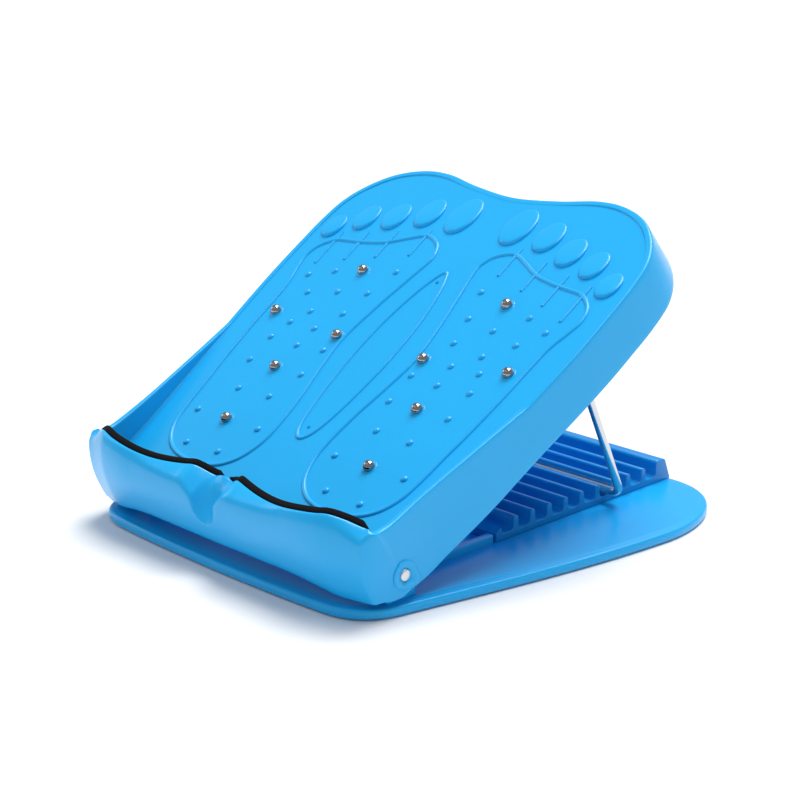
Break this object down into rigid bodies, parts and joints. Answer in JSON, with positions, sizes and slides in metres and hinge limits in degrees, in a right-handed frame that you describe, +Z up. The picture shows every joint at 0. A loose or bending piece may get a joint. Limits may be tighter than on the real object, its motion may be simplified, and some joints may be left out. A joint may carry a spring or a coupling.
{
  "type": "tilting foot stretch and massage board",
  "caption": "Moulded foot board with massage nubs and steel balls, hinged on a base and propped at a slant by a wire bail in a notched rack.",
  "frame": {"origin": "on the floor, under the middle of the whole object", "axes": "+X across the board from left foot to right foot, +Y from heel to toe, +Z up"},
  "size_m": [0.3586, 0.354, 0.2147],
  "materials": {
    "blue_plastic": "glossy sky-blue injection moulded plastic",
    "foam": "matt black closed-cell foam",
    "bright_steel": "bright plated steel wire",
    "polished_steel": "polished steel balls",
    "zinc_steel": "zinc plated steel",
    "rubber": "matt black rubber"
  },
  "bodies": {
    "base": {"base_plate": "blue_plastic", "notch_rack": "blue_plastic", "rubber_foot_front_left": "rubber", "rubber_foot_front_right": "rubber", "rubber_foot_rear_left": "rubber", "rubber_foot_rear_right": "rubber", "hinge_pin_left": "zinc_steel", "hinge_pin_right": "zinc_steel", "pin_retainer_left": "zinc_steel", "pin_retainer_right": "zinc_steel"},
    "board": {"foot_board": "blue_plastic", "heel_pad_left": "foam", "heel_pad_right": "foam", "bail_clip_left": "blue_plastic", "bail_clip_right": "blue_plastic", "clip_screw_front_left": "zinc_steel", "clip_screw_front_right": "zinc_steel", "clip_screw_rear_left": "zinc_steel", "clip_screw_rear_right": "zinc_steel", "massage_ball_left_1": "polished_steel", "massage_ball_left_2": "polished_steel", "massage_ball_left_3": "polished_steel", "massage_ball_left_4": "polished_steel", "massage_ball_left_5": "polished_steel", "massage_ball_right_1": "polished_steel", "massage_ball_right_2": "polished_steel", "massage_ball_right_3": "polished_steel", "massage_ball_right_4": "polished_steel", "massage_ball_right_5": "polished_steel"},
    "bail": {"support_bail": "bright_steel"}
  },
  "joints": [
    {"name": "board_tilt", "type": "hinge", "parent": "base", "child": "board", "pos_m": [0, -0.12855, 0.0275], "axis": [1, 0, 0], "range_deg": [0, 5]},
    {"name": "bail_swing", "type": "hinge", "parent": "board", "child": "bail", "pos_m": [0, 0.0427, 0.14112], "axis": [1, 0, 0], "range_deg": [-82, 0]}
  ],
  "couplings": [
    {"joint": "bail_swing", "follows": "board_tilt", "ratio": -0.5}
  ]
}
